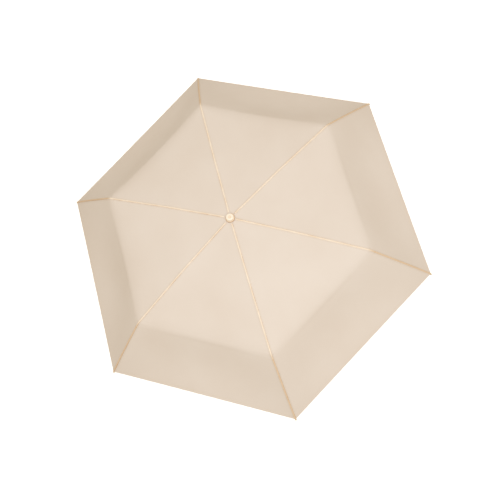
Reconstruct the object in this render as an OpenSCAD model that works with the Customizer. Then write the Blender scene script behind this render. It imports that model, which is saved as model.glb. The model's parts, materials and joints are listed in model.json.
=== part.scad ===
// Folding umbrella: six ribs in three folding lengths each, on a telescoping shaft of three tubes.
// The frame is drawn open. +Z runs up the shaft, and the origin is the middle of the hand grip.
// Each rib works in its own upright plane, where a point is
// [distance from the shaft, height over the crown pivots].

/* [Canopy] */
// Distance from the shaft to each rib tip
open_r = 450; // [440:1:460]
// Thickness of the drawn cloth
cloth_t = 0.35; // [0.25:0.05:0.6]
// How far the hem is cut back at the middle of each panel
hem_scallop = 8; // [0:1:14]

/* [Ribs] */
// Inner rib, from the crown pivot to the first knee
inner_len = 146; // [144:1:148]
// Middle rib, from the first knee to the second knee
middle_len = 156; // [154:1:158]
// Channel width of the pressed ribs
channel_w = 3.6; // [3.4:0.1:3.8]
// Channel height of the pressed ribs
channel_h = 3.2; // [3:0.1:3.4]
// Radius of the rod in the outer rib
rod_r = 1.1; // [0.9:0.05:1.2]

/* [Shaft] */
// Outer radius of the upper tube, the widest
upper_tube_r = 5; // [4.8:0.1:5]
// Wall of each tube
tube_wall = 0.5; // [0.4:0.05:0.5]
// Length of each tube that slides
tube_len = 160; // [158:1:162]
// Length of two tubes inside each other when the shaft is drawn out
tube_overlap = 24; // [20:1:28]

/* [Handle] */
// Radius of the hand grip
grip_r = 12.5; // [11:0.5:14]
// Length of the handle, grip and end cap together
handle_len = 52; // [50:1:60]

/* [Hidden] */
$fn = 48;
rib_count = 6;
rib_step = 360 / rib_count;

// Angles of the ribs over the horizontal when open, in degrees
inner_tilt = -5;
middle_tilt = -9.5;
outer_tilt = -38.4;
outer_bow = 4; // the rod leaves its socket this much above the line to its tip

// Widths across a rib's plane: tongues run inside channels, levers outside them, wires outside levers
wall_t = 0.45;
tongue_half = 1;
channel_half = channel_w / 2;
lever_in = 2;
lever_t = 0.5;
wire_r = 0.45;
wire_y = 3;
pin_r = 0.6;
eye_gap = 0.05; // round each hinge pin
loose_gap = 0.28; // round the pin of a link's far end

// Pivots. Those of the crown and runner are rings of wire.
crown_pivot_r = 8.6;
runner_pivot_r = 8;
ring_wire_r = 0.5;
channel_top = 1;
knee_lift = 1.5; // first knee over the line of the inner rib
knee_drop = -4.3; // second knee under the line of the middle rib
stretcher_at = [72, -1]; // where the stretcher is pinned in the inner rib
stretcher_len = 82;
stretcher_half_h = 1.1;

// Bell-crank levers of the two links, as [length, angle from the line of the piece that carries them]
stretcher_lever = [5.894, 76.675];
middle_lever = [4, -85.216];
inner_lever = [2.921, -94.448];
outer_lever = [4, -77.241];

// Shaft heights over the crown pivots, and the grip's middle at the origin
upper_tube_low = -tube_len;
middle_tube_low = upper_tube_low + tube_overlap - tube_len;
handle_top = middle_tube_low + tube_overlap - tube_len - 2;
crown_z = handle_len / 2 - handle_top;
tube_gap = 0.1;
middle_tube_r = upper_tube_r - tube_wall - tube_gap;
lower_tube_r = middle_tube_r - tube_wall - tube_gap;
detent_r = 1.2;
lower_overlap = 18; // the lower tube stops under the middle tube's spring button

// Points and angles in a rib's plane
function turned(a, p) = [p[0] * cos(a) - p[1] * sin(a), p[0] * sin(a) + p[1] * cos(a)];
function along(a, lever) = lever[0] * [cos(a + lever[1]), sin(a + lever[1])];
function heading(from, to) = atan2(to[1] - from[1], to[0] - from[0]);

crown_pivot = [crown_pivot_r, 0];
knee_1 = crown_pivot + turned(inner_tilt, [inner_len, knee_lift]);
knee_2 = knee_1 + turned(middle_tilt, [middle_len, knee_drop]);
outer_len = (open_r - 3 - knee_2[0]) / cos(outer_tilt);
stretcher_pin = crown_pivot + turned(inner_tilt, stretcher_at);
runner_drop = sqrt(pow(stretcher_len, 2) - pow(stretcher_pin[0] - runner_pivot_r, 2));
runner_pivot = [runner_pivot_r, stretcher_pin[1] - runner_drop];
stretcher_tilt = heading(stretcher_pin, runner_pivot);
push_from = stretcher_pin + along(stretcher_tilt, stretcher_lever);
push_to = knee_1 + along(middle_tilt, middle_lever);
control_from = knee_1 + along(inner_tilt, inner_lever);
control_to = knee_2 + along(outer_tilt, outer_lever);

// Frames -------------------------------------------------------------------------------------------

module at_crown() translate([0, 0, crown_z]) children();

module at_rib(i) at_crown() rotate([0, 0, rib_step * (i - 1)]) children();

module in_rib(i, p, a) at_rib(i) translate([p[0], 0, p[1]]) rotate([0, -a, 0]) children();

// A flat shape drawn in a rib's plane, thick from y = low to y = high
module plate(low, high) translate([0, high, 0]) rotate([90, 0, 0]) linear_extrude(high - low) children();

module cross_pin(x, z, r, low, high) {
    translate([x, high, z]) rotate([90, 0, 0]) cylinder(r = r, h = high - low);
}

// Pressed channel, open below
module channel(from, to, top) {
    difference() {
        translate([from, -channel_half, top - channel_h]) cube([to - from, channel_w, channel_h]);
        translate([from - 1, -channel_half + wall_t, top - channel_h - 1])
            cube([to - from + 2, channel_w - 2 * wall_t, channel_h + 1 - wall_t]);
    }
}

// The two side walls of a channel, continued as ears of the outline drawn by the children
module ears() {
    plate(channel_half - wall_t, channel_half) children();
    plate(-channel_half, -channel_half + wall_t) children();
}

// Lever plate on one side: side is 1 or -1
module lever(tip, side) {
    low = side > 0 ? lever_in : -lever_in - lever_t;
    plate(low, low + lever_t) {
        circle(r = 1.2);
        translate(tip) circle(r = 1.15);
        rotate(atan2(tip[1], tip[0])) translate([0, -0.9]) square([norm(tip), 1.8]);
    }
}

// Straight wire with both ends bent in through the levers: side is 1 or -1
module bent_wire(length, side, start_depth, end_depth) {
    y = side * wire_y;
    translate([0, y, 0]) rotate([0, 90, 0]) cylinder(r = wire_r, h = length, $fn = 24);
    for (e = [[0, start_depth], [length, end_depth]]) {
        translate([e[0], y, 0]) sphere(r = wire_r * 1.02, $fn = 24);
        cross_pin(e[0], 0, wire_r, min(y, side * e[1]), max(y, side * e[1]));
    }
}

// Shaft and handle ---------------------------------------------------------------------------------

module tube(r, low, high) {
    difference() {
        translate([0, 0, low]) cylinder(r = r, h = high - low, $fn = 64);
        translate([0, 0, low - 1]) cylinder(r = r - tube_wall, h = high - low + 2, $fn = 64);
    }
}

detent_hole_r = detent_r + 0.15;
lower_detent_z = middle_tube_low + 9;
middle_detent_z = upper_tube_low + tube_overlap - 8;

module button_hole(z) translate([0, 0, z]) rotate([90, 0, 0]) cylinder(r = detent_hole_r, h = 12);

module lower_tube() {
    color("silver") at_crown() difference() {
        tube(lower_tube_r, handle_top - 36, middle_tube_low + lower_overlap);
        button_hole(lower_detent_z);
    }
}

module middle_tube() {
    color("silver") at_crown() difference() {
        tube(middle_tube_r, middle_tube_low, middle_tube_low + tube_len);
        button_hole(lower_detent_z);
        button_hole(middle_detent_z);
    }
}

module upper_tube() {
    color("silver") at_crown() difference() {
        tube(upper_tube_r, upper_tube_low, 1);
        button_hole(middle_detent_z);
        button_hole(runner_pivot[1] - 6.5);
    }
}

// Spring button: a leaf inside the tube with a round head that stands in the tube's hole
module spring_button(z, tube_r, leaf_low, leaf_high) {
    leaf_y = -tube_r + 1.25;
    color("gainsboro") at_crown() translate([0, leaf_y, z]) {
        rotate([90, 0, 0]) cylinder(r = detent_r, h = 1.05);
        translate([-1.4, -0.01, leaf_low]) cube([2.8, 0.3, leaf_high - leaf_low]);
    }
}

module lower_detent() spring_button(lower_detent_z, lower_tube_r, -20, 4);

module middle_detent() spring_button(middle_detent_z, middle_tube_r, -2, 7);

grip_top = handle_len / 2;
end_cap_len = 12;
grip_low = -handle_len / 2 + end_cap_len;

module handle_grip() {
    bore_r = lower_tube_r + 0.02;
    color("antiquewhite") rotate_extrude($fn = 96) polygon([
        [bore_r, grip_low], [grip_r - 1, grip_low], [grip_r, grip_low + 1], [grip_r, grip_top - 3],
        [grip_r - 0.6, grip_top - 1.4], [grip_r - 2, grip_top - 0.4], [grip_r - 4, grip_top],
        [bore_r, grip_top]]);
}

module handle_end_cap() {
    low = -handle_len / 2;
    r = grip_r - 0.5;
    color("antiquewhite") difference() {
        rotate_extrude($fn = 96) polygon([
            [0, low], [r - 4, low], [r - 1.8, low + 0.8], [r - 0.5, low + 2.2], [r, low + 4],
            [r, grip_low - 0.8], [r - 0.8, grip_low], [0, grip_low]]);
        translate([-grip_r, 0, low + strap_hole_up]) rotate([0, 90, 0])
            cylinder(r = strap_hole_r, h = 2 * grip_r);
    }
}

strap_hole_r = 2;
strap_hole_up = 6;

// Crown and cap ------------------------------------------------------------------------------------

crown_r = 11;
crown_top = 3.6;
crown_low = -4;
plate_low = 2.1;

// Radial slots for the tongues of all six ribs
module slots(inner, low, high, width) {
    for (i = [1:rib_count])
        rotate([0, 0, rib_step * (i - 1)]) translate([inner, -width / 2, low])
            cube([20, width, high - low]);
}

module ring_groove(pivot_r, z) {
    rotate_extrude($fn = 96) translate([pivot_r - ring_wire_r - 0.05, z - ring_wire_r - 0.05])
        square([10, 2 * ring_wire_r + 0.1]);
}

// Notched ring with the tube's socket, which holds the ribs' wire
module crown() {
    color("antiquewhite") at_crown() difference() {
        union() {
            translate([0, 0, crown_low]) cylinder(r = crown_r, h = plate_low - crown_low, $fn = 96);
            translate([0, 0, crown_low - 5]) cylinder(r = 5.9, h = 5.5);
        }
        translate([0, 0, crown_low - 6]) cylinder(r = upper_tube_r + 0.02, h = 20, $fn = 64);
        slots(6.3, crown_low - 1, plate_low + 1, 2.5);
        ring_groove(crown_pivot_r, 0);
    }
}

// Plate over the notches, with the stud that takes the washer and the cap
module crown_plate() {
    color("antiquewhite") at_crown() {
        translate([0, 0, plate_low]) cylinder(r = crown_r, h = crown_top - plate_low, $fn = 96);
        translate([0, 0, crown_top - 0.5]) cylinder(r = 2.4, h = 9.5 - crown_top);
    }
}

module ring(pivot_r, z) {
    translate([0, 0, z]) rotate_extrude($fn = 96) translate([pivot_r, 0])
        circle(r = ring_wire_r, $fn = 24);
}

module crown_wire() color("silver") at_crown() ring(crown_pivot_r, 0);

module canopy_washer() {
    color("antiquewhite") at_crown() translate([0, 0, crown_top + 1.2]) difference() {
        cylinder(r = 10.4, h = 0.6, $fn = 96);
        translate([0, 0, -1]) cylinder(r = 2.6, h = 3);
    }
}

module top_cap() {
    low = crown_top + 1.9;
    color("antiquewhite") at_crown() rotate_extrude($fn = 96) polygon([
        [2.45, low], [9.4, low], [9.4, low + 1], [8.6, low + 1.6], [8.6, low + 5.6], [8, low + 7.2],
        [6.6, low + 8], [4.4, low + 8.2], [3.6, low + 7.5], [0, low + 7.3], [0, low + 4.4],
        [2.45, low + 4.4]]);
}

// Runner and its latch -----------------------------------------------------------------------------

sleeve_r = 6.9;
sleeve_low = -19;
ring_low = -2.8;
latch_pivot = [-6.7, -11.5];
latch_half = 3;

module at_runner() at_crown() translate([0, 0, runner_pivot[1]]) children();

// Sleeve of the runner, with the window of its latch
module runner() {
    color("antiquewhite") at_runner() difference() {
        union() {
            translate([0, 0, sleeve_low]) cylinder(r = sleeve_r, h = ring_low - sleeve_low, $fn = 64);
            translate([0, 0, sleeve_low]) cylinder(r = 9.2, h = 2.2, $fn = 96);
            translate([-4.6, latch_pivot[0] - 1.1, latch_pivot[1] - 1.5]) cube([9.2, 3.6, 3]);
        }
        runner_bore();
        translate([-latch_half - 0.3, -20, sleeve_low + 2.4]) cube([2 * latch_half + 0.6, 20, 13.2]);
        cross_bore();
    }
}

// Notched ring on the sleeve, which holds the stretchers' wire
module runner_ring() {
    color("antiquewhite") at_runner() difference() {
        union() {
            translate([0, 0, ring_low]) cylinder(r = 11, h = -2 * ring_low, $fn = 96);
            cylinder(r = 6.5, h = 8, $fn = 64);
        }
        runner_bore();
        slots(6.3, -1.8, 9, 2.7);
        slots(7.1, ring_low - 0.2, 0, 2.7);
        ring_groove(runner_pivot_r, 0);
    }
}

module runner_bore() {
    translate([0, 0, sleeve_low - 1]) cylinder(r = upper_tube_r + 0.08, h = 40, $fn = 64);
}

module cross_bore() {
    translate([-6, latch_pivot[0], latch_pivot[1]]) rotate([0, 90, 0])
        cylinder(r = pin_r + eye_gap, h = 12);
}

module runner_wire() color("silver") at_runner() ring(runner_pivot_r, 0);

// Rocker in the runner's window: its lower half is pressed in, and its tooth then leaves the tube
module latch_lever() {
    color("wheat") at_runner() difference() {
        union() {
            translate([-latch_half, 0, 0]) rotate([90, 0, 90]) linear_extrude(2 * latch_half) polygon([
                [-5.2, -5.6], [-6.2, -4.6], [-7.6, -4.6], [-7.8, -8], [-8, -11], [-8.6, -13.6],
                [-8.4, -16], [-7, -16], [-6.4, -13], [-6, -11], [-6, -7.6], [-5.2, -7]]);
            translate([-latch_half, latch_pivot[0], latch_pivot[1]]) rotate([0, 90, 0])
                cylinder(r = 1.2, h = 2 * latch_half);
        }
        cross_bore();
    }
}

module latch_pin() {
    color("silver") at_runner() translate([-4.6, latch_pivot[0], latch_pivot[1]]) rotate([0, 90, 0])
        cylinder(r = pin_r, h = 9.2);
}

// Leaf that pushes the rocker's lower half out again
module latch_spring() {
    color("silver") at_runner() translate([-1.6, 0, 0]) rotate([90, 0, 90]) linear_extrude(3.2) polygon([
        [-5.2, -15.8], [-5.2, -15.2], [-5.7, -13], [-5.95, -13.4], [-5.45, -15.8]]);
}

// Ribs ---------------------------------------------------------------------------------------------

module inner_rib(i) {
    lug = along(0, inner_lever);
    color("gainsboro") in_rib(i, crown_pivot, inner_tilt) difference() {
        union() {
            channel(6.5, inner_len - 3, channel_top);
            plate(-tongue_half, tongue_half) {
                circle(r = 1.6);
                translate([0, -1]) square([12, 1.8]);
            }
            ears() {
                translate([inner_len, knee_lift]) circle(r = 1.5);
                polygon([[inner_len - 9, -2.2], [inner_len - 9, 1], [inner_len - 3, 1.4],
                         [inner_len - 0.8, 2.75], [inner_len + 1.3, 0.6], [inner_len + 0.9, -1.6],
                         [inner_len - 0.6, -2.2]]);
            }
        }
        cross_pin(0, 0, ring_wire_r + 0.12, -3, 3);
        cross_pin(stretcher_at[0], stretcher_at[1], pin_r + eye_gap, -3, 3);
        cross_pin(inner_len, knee_lift, pin_r + eye_gap, -3, 3);
        cross_pin(inner_len + lug[0], knee_lift + lug[1], wire_r + eye_gap, -3, 0);
    }
}

module middle_rib(i) {
    top = channel_top - knee_lift;
    lever_end = along(0, middle_lever);
    color("gainsboro") in_rib(i, knee_1, middle_tilt) difference() {
        union() {
            channel(3.2, middle_len - 1, top);
            plate(-tongue_half, tongue_half) {
                circle(r = 1.35);
                polygon([[-0.2, 1.3], [3, 0.15], [4.2, -0.7], [14, -0.7], [14, -2.6], [3.2, -2.9],
                         [-0.9, -1]]);
            }
            cross_pin(0, 0, pin_r, -lever_in - 0.3, lever_in + lever_t);
            cross_pin(0, 0, 1.1, -lever_in - 0.3, -lever_in + 0.05);
            lever(lever_end, 1);
            ears() {
                translate([middle_len, knee_drop]) circle(r = 1.5);
                polygon([[middle_len - 9, -3.7], [middle_len - 9, -0.5], [middle_len - 1, -0.5],
                         [middle_len + 1.4, -3.8], [middle_len - 1.2, -5.2], [middle_len - 4, -3.7]]);
            }
        }
        cross_pin(lever_end[0], lever_end[1], wire_r + loose_gap, 1, 4);
        cross_pin(middle_len, knee_drop, pin_r + eye_gap, -3, 3);
    }
}

socket_from = 5.5;
socket_to = 17;
rod_z = 1.8;
rod_bend_r = 1276;

module outer_rib(i) {
    lever_end = along(0, outer_lever);
    arc = (outer_len - socket_from - 3) / rod_bend_r * 180 / PI;
    color("antiquewhite") in_rib(i, knee_2, outer_tilt) {
        difference() {
            union() {
                rotate([0, -outer_bow, 0]) {
                    plate(-tongue_half, tongue_half) {
                        circle(r = 1.35);
                        polygon([[-0.7, 1.15], [5, 3.1], [9, 3.1], [9, 0.5], [5, 0.3], [0.4, -1.3]]);
                    }
                    translate([socket_from, 0, rod_z]) rotate([0, 90, 0])
                        cylinder(r = 1.75, h = socket_to - socket_from);
                }
                cross_pin(0, 0, pin_r, -lever_in - lever_t, lever_in + 0.3);
                cross_pin(0, 0, 1.1, lever_in - 0.05, lever_in + 0.3);
                lever(lever_end, -1);
            }
            rotate([0, -outer_bow, 0]) translate([socket_from + 2.5, 0, rod_z]) rotate([0, 90, 0])
                cylinder(r = rod_r + 0.05, h = 20);
            cross_pin(lever_end[0], lever_end[1], wire_r + loose_gap, -4, -1);
        }
        rotate([0, -outer_bow, 0]) {
            bowed(socket_from + 3, 0, arc) circle(r = rod_r, $fn = 32);
            bowed(socket_from + 3, arc - 0.45, arc) circle(r = 2, $fn = 32);
            translate([socket_from + 3, 0, rod_z - rod_bend_r]) rotate([0, arc, 0])
                translate([0, 0, rod_bend_r]) sphere(r = 2, $fn = 32);
        }
    }
}

// Sweeps the children along the rod's bend, from x, between two angles of the bend
module bowed(x, from, to) {
    translate([x, 0, rod_z - rod_bend_r]) rotate([90, 0, 0]) rotate([0, 0, 90 - to])
        rotate_extrude(angle = to - from, $fn = 360) translate([rod_bend_r, 0]) children();
}

module stretcher(i) {
    lever_end = along(0, stretcher_lever);
    color("gainsboro") in_rib(i, stretcher_pin, stretcher_tilt) difference() {
        union() {
            plate(-tongue_half, tongue_half) {
                circle(r = stretcher_half_h);
                translate([0, -stretcher_half_h]) square([stretcher_len, 2 * stretcher_half_h]);
                translate([stretcher_len, 0]) circle(r = 1.5);
            }
            cross_pin(0, 0, pin_r, -lever_in - 0.3, lever_in + lever_t);
            cross_pin(0, 0, 1.1, -lever_in - 0.3, -lever_in + 0.05);
            lever(lever_end, 1);
        }
        translate([5, -0.6, -0.5]) cube([stretcher_len - 12, 1.2, 4]);
        cross_pin(stretcher_len, 0, ring_wire_r + 0.12, -3, 3);
        cross_pin(lever_end[0], lever_end[1], wire_r + eye_gap, 1, 4);
    }
}

module push_rod(i) {
    color("silver") in_rib(i, push_from, heading(push_from, push_to))
        bent_wire(norm(push_to - push_from), 1, channel_half + 0.12, channel_half + 0.12);
}

module control_wire(i) {
    color("silver") in_rib(i, control_from, heading(control_from, control_to))
        bent_wire(norm(control_to - control_from), -1, tongue_half + 0.25, channel_half + 0.12);
}

// Canopy -------------------------------------------------------------------------------------------

// Underside of the cloth over a rib, from the crown to the tip
cloth_line = concat(
    [[3.2, crown_top + 0.3], [11.5, crown_top + 0.3]],
    [for (x = [40, 75, 110, inner_len]) crown_pivot + turned(inner_tilt, [x, knee_lift + 1.8])],
    [for (x = [40, 80, 120, middle_len - 8]) knee_1 + turned(middle_tilt, [x, 2])],
    [knee_2 + turned((middle_tilt + outer_tilt) / 2, [0, 6.6])],
    [for (s = [[18, 7], [50, 7.5], [85, 7.6], [120, 7.1], [148, 6.3], [outer_len - 9, 5.6]])
        knee_2 + turned(outer_tilt, s)]);
across = 8;
rows = len(cloth_line);

// A point of the cloth: row j from the crown, share u from one rib to the next, lifted by up
function cloth_point(j, u, up) =
    let (
        p = cloth_line[j],
        q = cloth_line[max(0, j - 1)],
        pull = j < rows - 2 ? 0 : (j - rows + 3) / 2 * hem_scallop * 4 * u * (1 - u),
        r = p[0] + (q - p)[0] / max(1, norm(q - p)) * pull,
        z = p[1] + (q - p)[1] / max(1, norm(q - p)) * pull + up,
        half = rib_step / 2,
        edge_r = r * cos(half),
        side = (2 * u - 1) * (r * sin(half) - 0.2)
    )
    [edge_r * cos(half) - side * sin(half), edge_r * sin(half) + side * cos(half), z];

module canopy_panel(i) {
    count = across + 1;
    under = [for (j = [0:rows - 1]) for (k = [0:across]) cloth_point(j, k / across, 0)];
    over = [for (j = [0:rows - 1]) for (k = [0:across]) cloth_point(j, k / across, cloth_t)];
    shift = rows * count;
    cells = [for (j = [0:rows - 2]) for (k = [0:across - 1]) j * count + k];
    top_faces = [for (c = cells) each [[c + shift, c + 1 + shift, c + count + shift],
                                       [c + 1 + shift, c + count + 1 + shift, c + count + shift]]];
    low_faces = [for (c = cells) each [[c, c + count, c + 1], [c + 1, c + count, c + count + 1]]];
    last = (rows - 1) * count;
    end_faces = [for (k = [0:across - 1]) let (e = last + k) each [
        [k, k + 1, k + shift], [k + 1, k + 1 + shift, k + shift],
        [e, e + shift, e + 1], [e + 1, e + shift, e + 1 + shift]]];
    side_faces = [for (j = [0:rows - 2]) let (a = j * count, b = a + across) each [
        [a, a + shift, a + count], [a + count, a + shift, a + count + shift],
        [b, b + count, b + shift], [b + count, b + count + shift, b + shift]]];
    color("bisque") at_rib(i)
        polyhedron(concat(under, over), concat(top_faces, low_faces, end_faces, side_faces));
}

// Nodes --------------------------------------------------------------------------------------------

handle_grip();
handle_end_cap();
lower_tube();
middle_tube();
upper_tube();
lower_detent();
middle_detent();
crown();
crown_plate();
crown_wire();
top_cap();
canopy_washer();
runner();
runner_ring();
runner_wire();
latch_lever();
latch_pin();
latch_spring();
for (i = [1:rib_count]) {
    inner_rib(i);
    middle_rib(i);
    outer_rib(i);
    stretcher(i);
    push_rod(i);
    control_wire(i);
    canopy_panel(i);
}
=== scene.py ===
import json
import math

import bpy
import numpy as np
from mathutils import Matrix


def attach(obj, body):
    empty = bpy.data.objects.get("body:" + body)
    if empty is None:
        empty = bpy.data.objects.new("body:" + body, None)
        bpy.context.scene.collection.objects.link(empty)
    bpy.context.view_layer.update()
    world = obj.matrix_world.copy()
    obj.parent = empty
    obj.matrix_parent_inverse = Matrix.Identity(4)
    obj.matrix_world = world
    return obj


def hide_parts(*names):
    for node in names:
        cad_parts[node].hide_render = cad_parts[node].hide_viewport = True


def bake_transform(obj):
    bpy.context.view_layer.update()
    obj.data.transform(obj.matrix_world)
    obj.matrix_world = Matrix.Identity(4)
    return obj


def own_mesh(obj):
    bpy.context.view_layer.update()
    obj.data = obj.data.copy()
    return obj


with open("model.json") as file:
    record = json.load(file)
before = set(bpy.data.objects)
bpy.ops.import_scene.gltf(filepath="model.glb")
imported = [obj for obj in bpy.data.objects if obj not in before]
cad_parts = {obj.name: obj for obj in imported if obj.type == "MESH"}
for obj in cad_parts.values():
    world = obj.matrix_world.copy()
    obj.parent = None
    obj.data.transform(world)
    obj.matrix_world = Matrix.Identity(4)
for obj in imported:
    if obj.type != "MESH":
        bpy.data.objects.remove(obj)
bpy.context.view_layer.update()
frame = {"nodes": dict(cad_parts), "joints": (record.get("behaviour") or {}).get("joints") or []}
nodes = frame["nodes"]
joints = {joint["name"]: joint for joint in frame["joints"]}
print("frame loaded:", len(nodes), "nodes")

ribCount = 6
ribStep = 2 * math.pi / ribCount


# a joint's pivot on rib 1, which lies in the XZ plane, as (distance from the shaft, height)
def pivot(name):
    return np.array(joints[name]["pos_m"])[[0, 2]]


crownPivot = pivot("inner_rib_1_fold")
kneeOne = pivot("middle_rib_1_fold")
kneeTwo = pivot("outer_rib_1_fold")


# ---- camera

cameraSettings = {
    "place": (-0.5207, -0.1777, 1.9141),
    "lookAt": (-0.0651, -0.0157, 0.400),
    "rollDegrees": -36.5,
    "lens": 50.4,
    "sensor": 36,
    "farthest": 50,
}


# a vector divided by its length
def unit(vector):
    return vector / np.linalg.norm(vector)


# The three axes of an object at a place that looks along its -Z at a target: right is forward x world up,
# up is right x forward, and both are then turned about the line of sight by the roll.
def aimed(place, target, roll=0.0):
    forward = unit(np.array(target, float) - np.array(place, float))
    side = unit(np.cross(forward, (0, 0, 1)))
    above = np.cross(side, forward)
    c, s = math.cos(roll), math.sin(roll)
    return side * c + above * s, above * c - side * s, -forward


# puts the three axes and the place into an object's matrix
def placeAimed(thing, place, target, roll=0.0):
    columns = np.stack([*aimed(place, target, roll), place], axis=1)
    thing.matrix_world = Matrix([*columns.tolist(), [0, 0, 0, 1]])


# the camera, placed by the axes above
def addCamera(settings):
    data = bpy.data.cameras.new("camera")
    data.lens = settings["lens"]
    data.sensor_width = settings["sensor"]
    data.clip_end = settings["farthest"]
    camera = bpy.data.objects.new("camera", data)
    bpy.context.scene.collection.objects.link(camera)
    placeAimed(camera, settings["place"], settings["lookAt"], math.radians(settings["rollDegrees"]))
    bpy.context.scene.camera = camera


addCamera(cameraSettings)
print("camera placed")


# ---- shader maths

# A socket in a material's tree; sums and products of sockets and numbers add Math nodes.
class Flow:
    def __init__(self, tree, socket=None):
        self.tree = tree
        self.socket = socket

    # adds any node: settings first, then the value or link of each input, by name or by number
    def node(self, kind, settings=None, inputs=None, out=0):
        made = self.tree.nodes.new(kind)
        for key, value in (settings or {}).items():
            setattr(made, key, value)
        for key, value in (inputs or {}).items():
            if isinstance(value, Flow):
                self.tree.links.new(value.socket, made.inputs[key])
            else:
                made.inputs[key].default_value = value
        return Flow(self.tree, made.outputs[out])

    def maths(self, operation, *values):
        return self.node("ShaderNodeMath", {"operation": operation}, dict(enumerate(values)))

    def __add__(self, other):
        return self.maths("ADD", self, other)

    def __sub__(self, other):
        return self.maths("SUBTRACT", self, other)

    def __rsub__(self, other):
        return self.maths("SUBTRACT", other, self)

    def __mul__(self, other):
        return self.maths("MULTIPLY", self, other)

    def __truediv__(self, other):
        return self.maths("DIVIDE", self, other)

    __radd__ = __add__
    __rmul__ = __mul__

    # held between 0 and 1
    def clamped(self):
        return self.node("ShaderNodeClamp", inputs={0: self})

    # 1 where the socket is under the limit, fading to 0 over soft
    def under(self, limit, soft):
        return ((limit - self) / soft + 0.5).clamped()

    # the sine of the socket as an angle
    def sine(self):
        return self.maths("SINE", self)

    # without its sign
    def size(self):
        return self.maths("ABSOLUTE", self)

    # the first colour where the socket is 0, the second where it is 1
    def mixed(self, first, second):
        return self.node("ShaderNodeMix", {"data_type": "RGBA"}, {0: self, 6: first, 7: second}, 2)

    def noise(self, where, scale, detail=2.0, rough=0.5):
        return self.node("ShaderNodeTexNoise", inputs={
            "Vector": where, "Scale": scale, "Detail": detail, "Roughness": rough})

    # the place on the object, in metres
    def objectSpace(self):
        return self.node("ShaderNodeTexCoord", out=3)

    # the place on a piece of cloth, tape or thread, as its paint function says
    def cutSpace(self):
        return self.node("ShaderNodeUVMap", {"uv_map": "cut"})

    # the three parts of a place
    def axes(self, where):
        split = self.node("ShaderNodeSeparateXYZ", inputs={0: where})
        return [Flow(self.tree, out) for out in split.socket.node.outputs]

    # a place times a scale on each axis
    def stretched(self, where, scale):
        return self.node("ShaderNodeMapping", inputs={"Vector": where, "Scale": scale})

    # a sine wave with a given length from crest to crest
    def wave(self, pitch):
        return (self * (2 * math.pi / pitch)).sine()

    def bump(self, height, distance, strength):
        return self.node("ShaderNodeBump", inputs={
            "Strength": strength, "Distance": distance, "Height": height})


# linear value of a colour given as screen numbers from 0 to 255: the standard curve's power of 2.4
def colour(red, green, blue):
    return (*(((c / 255 + 0.055) / 1.055) ** 2.4 for c in (red, green, blue)), 1.0)


# Makes a material. Constants go on the shader's own sockets, and paint(flow) gives what changes
# over the surface.
def material(name, constants, paint):
    made = bpy.data.materials.new(name)
    made.use_nodes = True
    tree = made.node_tree
    shader = tree.nodes["Principled BSDF"]
    for key, value in constants.items():
        shader.inputs[key].default_value = value
    for key, value in paint(Flow(tree)).items():
        tree.links.new(value.socket, shader.inputs[key])
    return made


# ---- materials

clothLook = {
    "light": colour(231, 219, 208),
    "shade": colour(225, 211, 198),
    "thread": colour(222, 196, 164),
    "weavePitch": 0.0011,
    "stitchPitch": 0.0026,
    "stitchFromHem": 0.0065,
    "stitchFromSeam": 0.0042,
    "cloudScale": 9.0,
    "grainScale": 420.0,
    "depth": 0.00009,
}


# UV is in metres: U is the distance across from the rib's seam, and V the distance up from the hem.
# The weave is the product of a sine wave across and one up. A row of stitches is a narrow band round
# its distance, cut into dashes by a sine wave along it.
def paintCloth(flow):
    look = clothLook
    across, up, _ = flow.axes(flow.cutSpace())
    cloudy = flow.noise(flow.objectSpace(), look["cloudScale"], 3.0)
    fine = flow.noise(flow.objectSpace(), look["grainScale"], 2.0)
    weave = across.wave(look["weavePitch"]) * up.wave(look["weavePitch"])
    hemStitch = (up - look["stitchFromHem"]).size().under(0.0005, 0.0002)
    seamStitch = (across.size() - look["stitchFromSeam"]).size().under(0.0004, 0.0002)
    dashUp = up.wave(look["stitchPitch"]).under(0.3, 0.3)
    dashAcross = across.wave(look["stitchPitch"]).under(0.3, 0.3)
    stitches = (hemStitch * dashAcross + seamStitch * dashUp).clamped()
    ground = (cloudy * 1.6 - 0.3).clamped().mixed(look["shade"], look["light"])
    ground = (fine * 0.35 + weave * 0.05).clamped().mixed(ground, look["shade"])
    base = (stitches * 0.6).mixed(ground, look["thread"])
    relief = weave * 0.25 + fine * 0.5 + stitches * 1.5
    return {"Base Color": base, "Roughness": fine * 0.16 + 0.5,
            "Normal": flow.bump(relief, look["depth"], 0.8)}


seamLook = {
    "light": colour(252, 239, 222),
    "worn": colour(240, 219, 193),
    # the tan of the painted shade along one side of the tape, also the colour of the stitches' thread
    "shadedEdge": colour(202, 158, 114),
    "pastKnee": colour(226, 196, 160),
    "edgeAt": 0.0015,
    "stitchPitch": 0.0026,
    "twillPitch": 0.0009,
    "changeStart": -0.004,  # from the second knee
    "changeLength": 0.016,
    "patchScale": 34.0,
    "grainScale": 260.0,
    "depth": 0.0001,
}
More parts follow.
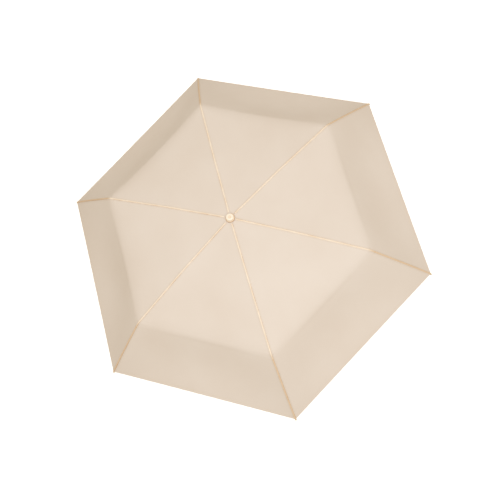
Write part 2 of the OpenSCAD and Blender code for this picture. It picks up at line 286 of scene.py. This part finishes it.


# UV is in metres: U across the tape, V the length from the crown. A sine wave of U + V is the twill, dashes
# of thread run along both edges, one side of the tape has a tan line of painted shade in patches, and past
# the second knee the tape is darker.
def paintSeam(flow):
    look = seamLook
    across, along, _ = flow.axes(flow.cutSpace())
    twill = (across + along).wave(look["twillPitch"])
    dash = along.wave(look["stitchPitch"]).under(0.35, 0.3)
    stitches = (across.size() - look["edgeAt"]).size().under(0.0003, 0.00015) * dash
    patchy = flow.noise(flow.objectSpace(), look["patchScale"], 3.0)
    grain = flow.noise(flow.objectSpace(), look["grainScale"])
    past = (along - (foldAt["kneeTwo"] + look["changeStart"])) / look["changeLength"]
    # painted shade: a tan line along one side of the ridge, broken into patches by noise
    shadedEdge = (look["edgeAt"] * 0.7 - across).under(0.0, 0.0005) * (patchy * 2.2 - 0.55).clamped()
    base = (patchy * 1.5 - 0.3 + grain * 0.2).clamped().mixed(look["light"], look["worn"])
    base = (past.clamped() * 0.8).mixed(base, look["pastKnee"])
    base = (shadedEdge * 0.75 + stitches * 0.25).clamped().mixed(base, look["shadedEdge"])
    relief = twill * 0.3 + stitches * 1.4
    return {"Base Color": base, "Roughness": grain * 0.15 + 0.5,
            "Normal": flow.bump(relief, look["depth"], 0.8)}


threadLook = {
    "light": colour(226, 192, 152),
    "dark": colour(204, 164, 120),
    "turnsPerMetre": 1400.0,
    "fuzzScale": 800.0,
    "depth": 0.00005,
}


# wound thread: V runs along it in metres and U round it in turns, so a sine wave of their sum is the twist
def paintThread(flow):
    look = threadLook
    around, along, _ = flow.axes(flow.cutSpace())
    ply = (along * look["turnsPerMetre"] + around).wave(1.0)
    fuzz = flow.noise(flow.objectSpace(), look["fuzzScale"])
    return {"Base Color": (ply * 0.3 + fuzz).clamped().mixed(look["light"], look["dark"]),
            "Roughness": fuzz * 0.2 + 0.55, "Normal": flow.bump(ply, look["depth"], 0.8)}


# "grain" is the fineness of the pits, "depth" how deep they are, and "rough" the least roughness
mouldedLooks = {
    "cap": {
        "light": colour(255, 242, 224), "dark": colour(250, 234, 212),
        "grain": 700.0, "depth": 0.00002, "rough": 0.18},
    "washer": {
        "light": colour(226, 186, 144), "dark": colour(208, 166, 124),
        "grain": 900.0, "depth": 0.00004, "rough": 0.4},
    "fitting": {
        "light": colour(224, 208, 190), "dark": colour(212, 196, 176),
        "grain": 1100.0, "depth": 0.00005, "rough": 0.42},
    "grip": {
        "light": colour(232, 214, 194), "dark": colour(224, 205, 184),
        "grain": 1500.0, "depth": 0.00008, "rough": 0.55},
}


# moulded plastic: broad noise mixes two colours, and fine noise is both the pits and the roughness
def paintMoulded(flow, look):
    where = flow.objectSpace()
    broad = flow.noise(where, 60.0, 2.0)
    pits = flow.noise(where, look["grain"], 3.0)
    return {"Base Color": (broad * 1.4 - 0.2).clamped().mixed(look["light"], look["dark"]),
            "Roughness": pits * 0.2 + look["rough"], "Normal": flow.bump(pits, look["depth"], 0.6)}


# painted shade in the cap's dish: its darker colour, the dish's radius, the softness of its rim, and how much
# of the colour is mixed in
capDishShade = {"colour": colour(236, 208, 176), "radius": 0.0036, "soft": 0.0006, "share": 0.55}


# a moulded cap with painted shade in its dished middle, which is a little darker: where the root of x x + y y
# is under a radius
def paintCap(flow):
    painted = paintMoulded(flow, mouldedLooks["cap"])
    x, y, _ = flow.axes(flow.objectSpace())
    dish = flow.maths("SQRT", x * x + y * y).under(capDishShade["radius"], capDishShade["soft"])
    painted["Base Color"] = (dish * capDishShade["share"]).mixed(painted["Base Color"], capDishShade["colour"])
    return painted


# "squeeze" is the noise's scale on each axis, and "rough" the least roughness
drawnLooks = {
    "tube": {
        "light": (0.78, 0.77, 0.75, 1), "dark": (0.66, 0.65, 0.63, 1),
        "squeeze": (2600.0, 2600.0, 9.0), "rough": 0.24},
    "rib": {
        "light": (0.74, 0.73, 0.71, 1), "dark": (0.6, 0.59, 0.57, 1),
        "squeeze": (160.0, 160.0, 1800.0), "rough": 0.3},
    "wire": {
        "light": (0.72, 0.72, 0.72, 1), "dark": (0.55, 0.55, 0.55, 1),
        "squeeze": (300.0, 300.0, 900.0), "rough": 0.2},
    "rod": {
        "light": colour(236, 222, 198), "dark": colour(214, 196, 168),
        "squeeze": (260.0, 260.0, 1400.0), "rough": 0.35},
}


# drawn or pressed stock: noise squeezed into fine lines, and broad smudges, both in the colour and roughness
def paintDrawn(flow, look):
    where = flow.objectSpace()
    lines = flow.noise(flow.stretched(where, look["squeeze"]), 1.0, 3.0)
    smudge = flow.noise(where, 45.0, 2.0)
    mix = (lines * 0.8 + smudge * 0.3 - 0.1).clamped()
    rough = lines * 0.14 + smudge * 0.12 + look["rough"]
    return {"Base Color": mix.mixed(look["light"], look["dark"]),
            "Roughness": rough, "Normal": flow.bump(lines, 0.00002, 0.5)}


# a material of moulded plastic
def moulded(name, look, constants):
    return material(name, constants, lambda flow: paintMoulded(flow, mouldedLooks[look]))


# a material of drawn or pressed stock
def drawn(name, look, constants):
    return material(name, constants, lambda flow: paintDrawn(flow, drawnLooks[look]))


cloth = material(
    "wovenCloth", {"Sheen Weight": 0.05, "Sheen Roughness": 0.4, "Specular IOR Level": 0.2}, paintCloth)
thread = material("sewingThread", {"Specular IOR Level": 0.3}, paintThread)
capGloss = material("capGloss", {"Coat Weight": 0.5, "Coat Roughness": 0.08}, paintCap)
washerSatin = moulded("washerSatin", "washer", {})
fittingSatin = moulded("fittingSatin", "fitting", {})
gripSoft = moulded("gripSoftTouch", "grip", {"Sheen Weight": 0.15})
tubeMetal = drawn("tubeSatinMetal", "tube", {"Metallic": 1.0})
ribMetal = drawn("ribPressedMetal", "rib", {"Metallic": 1.0})
wireSteel = drawn("wireBrightSteel", "wire", {"Metallic": 1.0})
rodGlass = drawn("rodGlassFibre", "rod", {"Coat Weight": 0.2, "Coat Roughness": 0.2})

# by node, or by the first part of its name; every other node is a wire, pin, spring or button
nodeLooks = {
    "handle_grip": gripSoft,
    "handle_end_cap": gripSoft,
    "latch_lever": gripSoft,
    "top_cap": capGloss,
    "canopy_washer": washerSatin,
    "crown": fittingSatin,
    "runner": fittingSatin,
    "lower_tube": tubeMetal,
    "middle_tube": tubeMetal,
    "upper_tube": tubeMetal,
    "inner_rib": ribMetal,
    "middle_rib": ribMetal,
    "stretcher": ribMetal,
    "outer_rib": rodGlass,
}


# puts each node's look on all its slots
def dressNodes():
    for name, thing in nodes.items():
        family = name.rsplit("_", 1)[0]
        look = nodeLooks.get(name) or nodeLooks.get(family) or wireSteel
        for place in thing.material_slots:
            place.material = look


dressNodes()
print("materials done")


# ---- meshes from arrays

meshSettings = {"sharpDegrees": 50, "materialSlot": "canopy_cloth"}


# Makes an object from arrays of points and of a UV pair per point, and a list of faces. Edges that turn
# more than the sharp angle stay sharp.
def piece(name, points, faces, uv, look):
    mesh = bpy.data.meshes.new(name)
    mesh.from_pydata(points.reshape(-1, 3).tolist(), [], faces)
    layer = mesh.uv_layers.new(name="cut")
    corner = np.zeros(len(mesh.loops), int)
    mesh.loops.foreach_get("vertex_index", corner)
    layer.data.foreach_set("uv", uv.reshape(-1, 2)[corner].astype(np.float32).ravel())
    mesh.shade_smooth()
    mesh.set_sharp_from_angle(angle=math.radians(meshSettings["sharpDegrees"]))
    mesh.materials.append(look)
    thing = bpy.data.objects.new(name, mesh)
    bpy.context.scene.collection.objects.link(thing)
    return thing


# Quads of a grid of rows and columns. They look along the cross product columns x rows, or along
# rows x columns if turned round.
def gridFaces(rows, columns, start, turnedRound):
    first = (np.arange(rows - 1)[:, None] * columns + np.arange(columns - 1)[None, :]).ravel() + start
    quads = np.stack([first, first + 1, first + columns + 1, first + columns], axis=1)
    return quads[:, ::-1] if turnedRound else quads


# unit normals of a grid of points: the cross product of its two directions
def gridNormals(grid):
    normal = np.cross(np.gradient(grid, axis=0), np.gradient(grid, axis=1))
    return normal / np.maximum(np.linalg.norm(normal, axis=2, keepdims=True), 1e-12)


# Closed sheet: the grid, the same grid lowered by the cloth's thickness along its normals, and a rim round
# all four edges. Outward is 1 where rows x columns points out of the canopy, and -1 where it points in.
def sheetFromGrid(name, grid, uv, thickness, outward, look):
    rows, columns = grid.shape[:2]
    under = grid - gridNormals(grid) * outward * thickness
    count = rows * columns
    loop = np.concatenate([
        np.arange(columns - 1),
        np.arange(rows - 1) * columns + columns - 1,
        (rows - 1) * columns + np.arange(columns - 1, 0, -1),
        np.arange(rows - 1, 0, -1) * columns])
    rim = np.stack([loop, np.roll(loop, -1), np.roll(loop, -1) + count, loop + count], axis=1)
    faces = np.concatenate([
        gridFaces(rows, columns, 0, outward > 0),
        gridFaces(rows, columns, count, outward < 0),
        rim if outward > 0 else rim[:, ::-1]])
    points = np.concatenate([grid.reshape(-1, 3), under.reshape(-1, 3)])
    return piece(name, points, faces.tolist(), np.concatenate([uv.reshape(-1, 2)] * 2), look)


# turns points about the shaft by an angle, with a rotation matrix
def turned(points, angle):
    c, s = math.cos(angle), math.sin(angle)
    return points @ np.array([[c, s, 0], [-s, c, 0], [0, 0, 1]])


# ---- canopy

canopy = {
    "columns": 27,
    "rows": {"inner": 34, "middle": 44, "outer": 64},
    "creaseAtRib": 0.0028,
    "creaseMidPanel": 0.025,
    "sag": 0.011,  # share of the chord
    "sagStart": 0.15,  # it grows to its whole size over this distance from the hem
    "skirtDip": 0.010,
    "thickness": 0.0003,
    "hemWidth": 0.007,
    "hemStep": 0.0004,
    "hemEdge": 0.0012,  # the length of the step itself
    "pucker": 0.0003,
    "puckerPitch": {"seam": 0.011, "hem": 0.016},
    "puckerReach": {"seam": 0.009, "hem": 0.012},
    "stitchedDown": 0.004,  # no hem pucker nearer to the seam than this
}
zones = ("inner", "middle", "outer")
ribTilt = {"inner": -5.0, "middle": -9.5, "outer": -38.4}
socketTilt = -24.0  # about halfway between the middle and the outer rib's tilt


# points given in millimetres along and above a rib's own line, turned by its tilt and moved to its pivot
def onRib(origin, degrees, points):
    a = math.radians(degrees)
    points = np.array(points) / 1000
    return origin + points @ np.array([[math.cos(a), math.sin(a)], [-math.sin(a), math.cos(a)]])


# the cloth's line over rib 1, from the crown to the tip: how far it stands over each length of the rib
lineKnots = np.concatenate([
    (crownPivot * (0, 1) + np.array([[0.0032, 0.0042], [0.0115, 0.0042]])),
    onRib(crownPivot, ribTilt["inner"], [[40, 3.7], [75, 3.7], [110, 3.7], [146, 3.7]]),
    onRib(kneeOne, ribTilt["middle"], [[40, 2.4], [80, 2.4], [120, 2.4], [150, 2.6]]),
    onRib(kneeTwo, socketTilt, [[0, 7.2]]),
    onRib(kneeTwo, ribTilt["outer"], [
        [18, 7.4], [50, 7.9], [85, 8.0], [120, 7.5], [148, 6.7], [174.5, 5.7]])])
knotLength = np.concatenate([[0], np.cumsum(np.linalg.norm(np.diff(lineKnots, axis=0), axis=1))])
lineEnd = knotLength[-1]
foldAt = {"kneeOne": knotLength[5], "kneeTwo": knotLength[10]}
zoneEnds = {
    "inner": (0.0, foldAt["kneeOne"]),
    "middle": (foldAt["kneeOne"], foldAt["kneeTwo"]),
    "outer": (foldAt["kneeTwo"], lineEnd),
}
lineStep = 0.001
lineRunOn = 0.12


# The line over a rib by length from the crown, as the mean of the knots' polyline under a bell curve of each
# width asked for. Both ends run on straight, so that smoothing leaves them in place.
def smoothedLine(length, width):
    fine = np.arange(-lineRunOn, lineEnd + lineRunOn, lineStep)
    inside = np.clip(fine, 0, lineEnd)
    knots = np.stack([np.interp(inside, knotLength, lineKnots[:, k]) for k in (0, 1)], axis=-1)
    startWay = (lineKnots[1] - lineKnots[0]) / (knotLength[1] - knotLength[0])
    endWay = (lineKnots[-1] - lineKnots[-2]) / (knotLength[-1] - knotLength[-2])
    knots += np.minimum(fine, 0)[:, None] * startWay + np.maximum(fine - lineEnd, 0)[:, None] * endWay
    weight = np.exp(-0.5 * ((length[..., None] - fine) / width[..., None]) ** 2)
    weight /= weight.sum(axis=-1, keepdims=True)
    return weight @ knots


# Half a panel's zone, from its rib to the panel's middle, as a grid of rows down the rib and columns across.
# Each row joins the same length on both ribs by a straight chord, of which w is the share from the rib.
# The crease is softened towards the middle, the cloth sags across by the parabola 4 w (1 - w), the skirt dips
# by a sine below the crease, the hem is a small step, and small sine ripples die away from seam and hem.
def halfPanel(zone):
    start, end = zoneEnds[zone]
    t = np.linspace(0, 1, canopy["rows"][zone])[:, None]
    t = {"inner": t, "middle": np.sin(t * math.pi / 2), "outer": (1 - np.cos(t * math.pi)) / 2}[zone]
    w = np.linspace(0, 1, canopy["columns"])[None, :] ** 1.35 / 2
    bulge = 4 * w * (1 - w)
    length = start + t * (end - start) + 0 * w
    softening = canopy["creaseMidPanel"] - canopy["creaseAtRib"]
    width = canopy["creaseAtRib"] + softening * bulge ** 0.6 + 0 * t
    line = smoothedLine(length, width)
    ahead = smoothedLine(length + lineStep, width) - line
    ahead /= np.linalg.norm(ahead, axis=-1, keepdims=True)
    chord = line[..., 0]
    fromHem = lineEnd - length
    fromSeam = chord * w
    sag = canopy["sag"] * chord * bulge * np.clip(fromHem / canopy["sagStart"], 0.1, 1)
    skirt = np.clip((length - foldAt["kneeTwo"]) / (lineEnd - foldAt["kneeTwo"]), 0, 1)
    sag += canopy["skirtDip"] * bulge * np.sin(skirt * math.pi) * np.minimum(1, skirt / 0.1)
    pitch, reach = canopy["puckerPitch"], canopy["puckerReach"]
    seamRipple = np.sin(length * 2 * math.pi / pitch["seam"]) * np.exp(-fromSeam / reach["seam"])
    hemRipple = np.sin(fromSeam * 2 * math.pi / pitch["hem"]) * np.exp(-fromHem / reach["hem"])
    ripple = canopy["pucker"] * (seamRipple + hemRipple * (fromSeam > canopy["stitchedDown"]))
    lift = ripple + canopy["hemStep"] * inHem(fromHem) - sag
    r = chord - ahead[..., 1] * lift
    z = line[..., 1] + ahead[..., 0] * lift
    grid = np.stack([r * (1 - w / 2), r * w * math.sqrt(0.75), z], axis=-1)
    return grid, np.stack([fromSeam, fromHem], axis=-1)


# 1 in the turned-up hem and 0 above it, with a straight slope between
def inHem(fromHem):
    return np.clip((canopy["hemWidth"] - fromHem) / canopy["hemEdge"], 0, 1)


# Settings for folding a zone into a pleat along the rib's own pieces: the share of its width the pleat would
# keep sideways, and a turn of the flattening, in degrees, that would lift it off the rib. Only the turn is
# read, by pleatAxis, and nothing folds the cloth.
foldPleat = {
    "inner": {"keep": 0.07, "turn": 0.0},
    "middle": {"keep": 0.05, "turn": -3.5},
    "outer": {"keep": 0.075, "turn": 3.5},
}


# The line a half panel would flatten along when folded: the chord's part square to the rib, turned about the
# rib
def pleatAxis(zone, side):
    a = math.radians(ribTilt[zone])
    along = np.array([math.cos(a), 0, math.sin(a)])
    above = np.array([-math.sin(a), 0, math.cos(a)])
    chord = np.array([-0.5, side * math.sqrt(0.75), 0])
    across = unit(chord - along * (chord @ along))
    lifted = unit(above - across * (above @ across))
    turn = math.radians(foldPleat[zone]["turn"])
    return across * math.cos(turn) - lifted * math.sin(turn)


# one half panel's zone beside rib k + 1, on its left (side 1, letter a) or its right (side -1, letter b)
def addHalfPanel(zone, k, side, grid, uv):
    angle = k * ribStep
    letter = "a" if side > 0 else "b"
    points = turned(grid * (1, side, 1), angle)
    name = f"cloth_{zone}_{k + 1}{letter}"
    thing = sheetFromGrid(name, points, uv * (side, 1), canopy["thickness"], side, cloth)
    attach(thing, f"{zone}_rib_{k + 1}")
    axis = turned(pleatAxis(zone, side), angle)
    anchor = turned(grid[len(grid) // 2, 0], angle)
    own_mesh(thing)
    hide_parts(f"canopy_panel_{(k if side > 0 else k - 1) % ribCount + 1}")


# each zone's half panel is worked out once, and laid on both sides of all ribs
def addCanopy():
    for zone in zones:
        grid, uv = halfPanel(zone)
        for k in range(ribCount):
            addHalfPanel(zone, k, 1, grid, uv)
            addHalfPanel(zone, k, -1, grid, uv)


addCanopy()
print("canopy done")


# ---- seams over the ribs

seam = {
    "start": 0.0105,
    "width": 0.0035,
    "height": 0.0008,
    "sunk": 0.0004,  # its underside, below the cloth's line
    "raised": 0.00002,  # its edges, above the cloth's line
    "step": 0.003,
    "sides": 9,
    "hemSwell": 0.5,
    "ripple": 0.12,
    "ripplePitch": 0.0052,
    "bendReach": 0.006,
}
seamTape = material("seamTape", {"Specular IOR Level": 0.4}, paintSeam)


# the cloth's line over rib 1, as points in the XZ plane
def upright(line):
    return np.stack([line[..., 0], 0 * line[..., 0], line[..., 1]], axis=-1)


# A ridge swept along the rib's line. Its cross-section is half an ellipse, squared off by a power of 0.7 on
# the sine and closed underneath. Its width ripples by a sine of the length, and it swells over the hem.
def seamStrip(name, start, end, k):
    length = np.arange(start, end + 1e-6, (end - start) / round((end - start) / seam["step"]))
    line = smoothedLine(length, np.full_like(length, canopy["creaseAtRib"]))
    ahead = np.gradient(line, axis=0)
    ahead /= np.linalg.norm(ahead, axis=1, keepdims=True)
    above = np.stack([-ahead[:, 1], np.zeros(len(length)), ahead[:, 0]], axis=1)
    turn = np.linspace(0, math.pi, seam["sides"])
    swell = 1 + seam["hemSwell"] * inHem(lineEnd - length)
    ripple = 1 + seam["ripple"] * np.sin(length * 2 * math.pi / seam["ripplePitch"])
    side = np.cos(turn)[None, :] * seam["width"] / 2 * ripple[:, None]
    lift = np.sin(turn)[None, :] ** 0.7 * seam["height"] * swell[:, None] + seam["raised"]
    middle = upright(line)
    over = np.array([0, 1, 0])
    top = middle[:, None] + over * side[..., None] + above[:, None] * lift[..., None]
    bottom = middle[:, None] + over * side[:, [-1, 0], None] - above[:, None] * seam["sunk"]
    rings = np.concatenate([top, bottom], axis=1)
    rows, columns = rings.shape[:2]
    index = np.arange(rows)[:, None] * columns + np.arange(columns + 1)[None, :] % columns
    corners = [index[:-1, :-1], index[:-1, 1:], index[1:, 1:], index[1:, :-1]]
    quads = np.stack(corners, axis=-1).reshape(-1, 4)
    ends = [index[0, -2::-1].tolist(), index[-1, :-1].tolist()]
    across = np.concatenate([side, side[:, [-1, 0]]], axis=1)
    uv = np.stack([across, length[:, None] + 0 * across], axis=-1)
    return piece(name, turned(rings.reshape(-1, 3), k * ribStep), quads.tolist() + ends, uv, seamTape)


# One of the two lengths of a seam, swept along the cloth's line past a knee. The line's points a short reach
# on both sides of the knee are worked out, but the strip is not blended between the rib pieces and rides none
# of them.
def addSeamLength(part, k, start, end, knee):
    strip = seamStrip(f"seam_{part}_{k + 1}", start, end, k)
    reach = seam["bendReach"]
    line = smoothedLine(np.array([knee - reach, knee + reach]), np.full(2, canopy["creaseAtRib"]))
    first, last = turned(upright(line), k * ribStep)
    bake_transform(strip)


# each seam is two lengths that meet halfway between the knees
def addSeams():
    halfway = (foldAt["kneeOne"] + foldAt["kneeTwo"]) / 2
    for k in range(ribCount):
        addSeamLength("inner", k, seam["start"], halfway, foldAt["kneeOne"])
        addSeamLength("outer", k, halfway, lineEnd, foldAt["kneeTwo"])


addSeams()
print("seams done")


# ---- thread that ties the cloth to the ribs

# Each tie, in millimetres: its distance along its rib, and the heights it wraps, lowest and highest, over
# the rib's own line.
ties = {
    "inner": [(34, -2.5, 3.4), (62, -2.5, 3.4), (118, -2.5, 3.4)],
    "middle": [(36, -4.0, 2.1), (76, -4.0, 2.1), (116, -4.0, 2.1)],
    "outer": [(34, 2.0, 7.4), (66, 3.1, 7.7), (100, 3.4, 7.6), (134, 2.6, 6.9), (172.4, 0.7, 6.7)],
}
tieShape = {
    "halfWidth": {"inner": 2.1, "middle": 2.1, "outer": 1.5},
    "thread": 0.2,  # radius
    "spacing": 2.1,  # from wrap to wrap, in radii
    "squareness": 0.6,
    "wraps": 3,
    "turns": 26,
    "sides": 6,
    "turnLength": 0.0007,  # thread's length from one point of the oval to the next, for its twist
}


# a sine or cosine whose size is raised to a power below 1, which squares off the oval made of them
def squared(wave):
    return np.sign(wave) * np.abs(wave) ** tieShape["squareness"]


# Rings of thread side by side, as points along, across and above the rib in millimetres: a squared-off oval,
# swept by a small circle.
def tieRings(zone, at, low, high):
    shape = tieShape
    a = np.linspace(0, 2 * math.pi, shape["turns"], endpoint=False)
    b = np.linspace(0, 2 * math.pi, shape["sides"], endpoint=False)
    halfWidth, halfHeight = shape["halfWidth"][zone], (high - low) / 2
    oval = np.stack([squared(np.cos(a)) * halfWidth, squared(np.sin(a)) * halfHeight], axis=1)
    way = np.roll(oval, -1, axis=0) - np.roll(oval, 1, axis=0)
    way /= np.linalg.norm(way, axis=1, keepdims=True)
    out = np.stack([way[:, 1], -way[:, 0]], axis=1)
    side = oval[:, None] + out[:, None] * np.cos(b)[:, None] * shape["thread"]
    along = np.broadcast_to(np.sin(b) * shape["thread"], side.shape[:2])
    ring = np.concatenate([along[..., None], side], axis=2)
    wrap = (np.arange(shape["wraps"]) - (shape["wraps"] - 1) / 2) * shape["spacing"] * shape["thread"]
    middle = np.stack([at + wrap, 0 * wrap, (low + high) / 2 + 0 * wrap], axis=1)
    return ring[None] + middle[:, None, None]


# quads of rings of thread, one after another: each closes both ways, round the rib and round the thread
def ringFaces(count, turns, sides):
    i, j = np.meshgrid(np.arange(turns), np.arange(sides), indexing="ij")
    i2, j2 = (i + 1) % turns, (j + 1) % sides
    corners = [i * sides + j, i2 * sides + j, i2 * sides + j2, i * sides + j2]
    one = np.stack(corners, axis=-1).reshape(-1, 4)
    return np.concatenate([one + k * turns * sides for k in range(count)])


# all the ties of one zone are one piece on each rib
def addTies():
    for zone, origin in (("inner", crownPivot), ("middle", kneeOne), ("outer", kneeTwo)):
        rings = np.concatenate([tieRings(zone, *tie) for tie in ties[zone]])
        count, turns, sides = rings.shape[:3]
        flat = onRib(origin, ribTilt[zone], rings[..., [0, 2]])
        points = np.stack([flat[..., 0], rings[..., 1] / 1000, flat[..., 1]], axis=-1).reshape(-1, 3)
        uv = np.zeros((count, turns, sides, 2))
        uv[..., 0] = np.arange(sides) / sides
        uv[..., 1] = np.arange(turns)[:, None] * tieShape["turnLength"]
        faces = ringFaces(count, turns, sides).tolist()
        for k in range(ribCount):
            thing = piece(f"ties_{zone}_{k + 1}", turned(points, k * ribStep), faces, uv, thread)
            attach(thing, f"{zone}_rib_{k + 1}")


addTies()
print("ties done")


# ---- floor and light

studio = {
    "floorHeight": -1.3,
    "floorSize": 14.0,
    "floorGlow": 0.6,
    "sky": 0.628,
    "skyColour": (1.0, 0.9, 0.73, 1),
}
topLight = {
    "target": (0, 0, 0.4),
    "stands": (0.0, 0.15, 2.4),  # right, up and towards the camera from its target
    "size": 2.2,
    "power": 37.0,
    "tint": (0.88, 0.95, 1.05),
}


# faint broad clouds in white paper
def paintPaper(flow):
    return {"Base Color": flow.noise(flow.objectSpace(), 0.6).mixed((0.97, 0.97, 0.97, 1), (1, 1, 1, 1))}


# a white square under the part, which the camera sees but the part isn't lit by
def addFloor():
    half, height = studio["floorSize"] / 2, studio["floorHeight"]
    corners = [(-half, -half, height), (half, -half, height), (half, half, height), (-half, half, height)]
    mesh = bpy.data.meshes.new("floor")
    mesh.from_pydata(corners, [], [(0, 1, 2, 3)])
    glow = {"Emission Color": (1, 1, 1, 1), "Emission Strength": studio["floorGlow"]}
    mesh.materials.append(material("floorPaper", {"Roughness": 0.9, **glow}, paintPaper))
    floor = bpy.data.objects.new("floor", mesh)
    bpy.context.scene.collection.objects.link(floor)
    floor.visible_diffuse = False
    floor.visible_glossy = False


# a square soft light: its target plus the camera's three axes times how far it stands along each
def addLight(name, settings):
    camera = cameraSettings
    axes = aimed(camera["place"], camera["lookAt"], math.radians(camera["rollDegrees"]))
    place = np.array(settings["target"]) + np.array(settings["stands"]) @ np.array(axes)
    data = bpy.data.lights.new(name, "AREA")
    data.size = settings["size"]
    data.energy = settings["power"]
    data.color = settings["tint"]
    light = bpy.data.objects.new(name, data)
    bpy.context.scene.collection.objects.link(light)
    placeAimed(light, place, settings["target"])


# an even warm light from all round
def addSky():
    world = bpy.data.worlds.new("studio")
    world.use_nodes = True
    inputs = world.node_tree.nodes["Background"].inputs
    inputs["Color"].default_value = studio["skyColour"]
    inputs["Strength"].default_value = studio["sky"]
    bpy.context.scene.world = world


addFloor()
addLight("topLight", topLight)
addSky()
bpy.context.scene.view_settings.view_transform = "Standard"
print("stage done")
